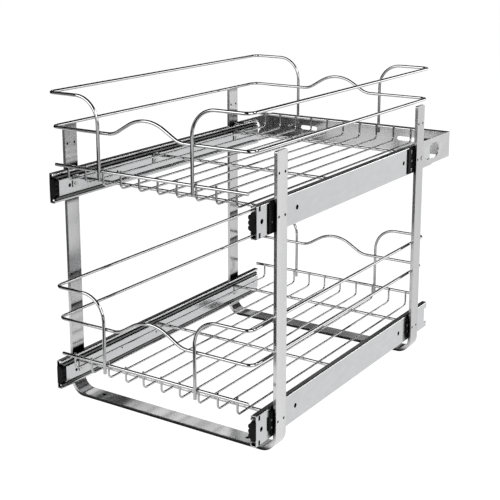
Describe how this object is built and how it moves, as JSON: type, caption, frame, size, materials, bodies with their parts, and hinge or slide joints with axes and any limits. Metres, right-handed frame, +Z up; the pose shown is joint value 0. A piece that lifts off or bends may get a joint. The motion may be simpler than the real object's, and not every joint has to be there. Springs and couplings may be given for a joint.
{
  "type": "two-tier pull-out cabinet basket",
  "caption": "Tiered pull-out cabinet basket: chromed wire baskets on full-extension ball slides, carried by U-shaped floor straps and a rear bracket.",
  "frame": {"origin": "on the cabinet floor, in the middle of the four floor screws", "axes": "X across the cabinet, +Y back into the cabinet, +Z up; the baskets pull out along -Y"},
  "size_m": [0.376, 0.6248, 0.4824],
  "materials": {
    "wire_chrome": "bright chrome plate on round steel wire",
    "strap_chrome": "bright plated flat steel",
    "slide_zinc": "zinc-plated cold-rolled sheet",
    "bracket_zinc": "plated sheet steel",
    "cage_steel": "thin zinc-plated strip",
    "ball_steel": "polished bearing steel",
    "rivet_steel": "zinc-plated",
    "clip_plastic": "black moulded plastic"
  },
  "bodies": {
    "frame": {"front_frame": "strap_chrome", "rear_frame": "strap_chrome", "rear_bracket": "bracket_zinc", "bracket_rivets": "rivet_steel", "upper_front_clips": "clip_plastic", "upper_rear_clips": "clip_plastic", "lower_clips": "clip_plastic", "clip_rivets": "rivet_steel", "upper_left_outer_rail": "slide_zinc", "upper_right_outer_rail": "slide_zinc", "lower_left_outer_rail": "slide_zinc", "lower_right_outer_rail": "slide_zinc"},
    "upper_basket": {"upper_left_inner_rail": "slide_zinc", "upper_right_inner_rail": "slide_zinc", "upper_bumpers": "clip_plastic", "upper_floor_wires": "wire_chrome", "upper_front_rim": "wire_chrome", "upper_rear_rim": "wire_chrome", "upper_front_cross_wire": "wire_chrome", "upper_middle_cross_wire": "wire_chrome", "upper_rear_cross_wire": "wire_chrome", "upper_left_top_rail": "wire_chrome", "upper_right_top_rail": "wire_chrome", "upper_mid_rail": "wire_chrome", "upper_tabs": "bracket_zinc", "upper_tab_screws": "rivet_steel"},
    "upper_middle_rails": {"upper_left_middle_rail": "slide_zinc", "upper_right_middle_rail": "slide_zinc"},
    "upper_outer_cages": {"upper_left_outer_cage": "cage_steel", "upper_right_outer_cage": "cage_steel", "upper_outer_balls": "ball_steel"},
    "upper_inner_cages": {"upper_left_inner_cage": "cage_steel", "upper_right_inner_cage": "cage_steel", "upper_inner_balls": "ball_steel"},
    "lower_basket": {"lower_left_inner_rail": "slide_zinc", "lower_right_inner_rail": "slide_zinc", "lower_bumpers": "clip_plastic", "lower_floor_wires": "wire_chrome", "lower_front_rim": "wire_chrome", "lower_rear_rim": "wire_chrome", "lower_front_cross_wire": "wire_chrome", "lower_middle_cross_wire": "wire_chrome", "lower_rear_cross_wire": "wire_chrome", "lower_left_top_rail": "wire_chrome", "lower_right_top_rail": "wire_chrome", "lower_mid_rail": "wire_chrome", "lower_tabs": "bracket_zinc", "lower_tab_screws": "rivet_steel"},
    "lower_middle_rails": {"lower_left_middle_rail": "slide_zinc", "lower_right_middle_rail": "slide_zinc"},
    "lower_outer_cages": {"lower_left_outer_cage": "cage_steel", "lower_right_outer_cage": "cage_steel", "lower_outer_balls": "ball_steel"},
    "lower_inner_cages": {"lower_left_inner_cage": "cage_steel", "lower_right_inner_cage": "cage_steel", "lower_inner_balls": "ball_steel"}
  },
  "joints": [
    {"name": "upper_basket_slide", "type": "slide", "parent": "frame", "child": "upper_basket", "axis": [0, -1, 0], "range_m": [0, 0.54]},
    {"name": "upper_middle_rails_slide", "type": "slide", "parent": "frame", "child": "upper_middle_rails", "axis": [0, -1, 0], "range_m": [0, 0.27]},
    {"name": "upper_outer_cages_slide", "type": "slide", "parent": "frame", "child": "upper_outer_cages", "axis": [0, -1, 0], "range_m": [0, 0.135]},
    {"name": "upper_inner_cages_slide", "type": "slide", "parent": "frame", "child": "upper_inner_cages", "axis": [0, -1, 0], "range_m": [0, 0.405]},
    {"name": "lower_basket_slide", "type": "slide", "parent": "frame", "child": "lower_basket", "axis": [0, -1, 0], "range_m": [0, 0.54]},
    {"name": "lower_middle_rails_slide", "type": "slide", "parent": "frame", "child": "lower_middle_rails", "axis": [0, -1, 0], "range_m": [0, 0.27]},
    {"name": "lower_outer_cages_slide", "type": "slide", "parent": "frame", "child": "lower_outer_cages", "axis": [0, -1, 0], "range_m": [0, 0.135]},
    {"name": "lower_inner_cages_slide", "type": "slide", "parent": "frame", "child": "lower_inner_cages", "axis": [0, -1, 0], "range_m": [0, 0.405]}
  ],
  "couplings": [
    {"joint": "upper_middle_rails_slide", "follows": "upper_basket_slide", "ratio": 0.5},
    {"joint": "upper_outer_cages_slide", "follows": "upper_basket_slide", "ratio": 0.25},
    {"joint": "upper_inner_cages_slide", "follows": "upper_basket_slide", "ratio": 0.75},
    {"joint": "lower_middle_rails_slide", "follows": "lower_basket_slide", "ratio": 0.5},
    {"joint": "lower_outer_cages_slide", "follows": "lower_basket_slide", "ratio": 0.25},
    {"joint": "lower_inner_cages_slide", "follows": "lower_basket_slide", "ratio": 0.75}
  ]
}
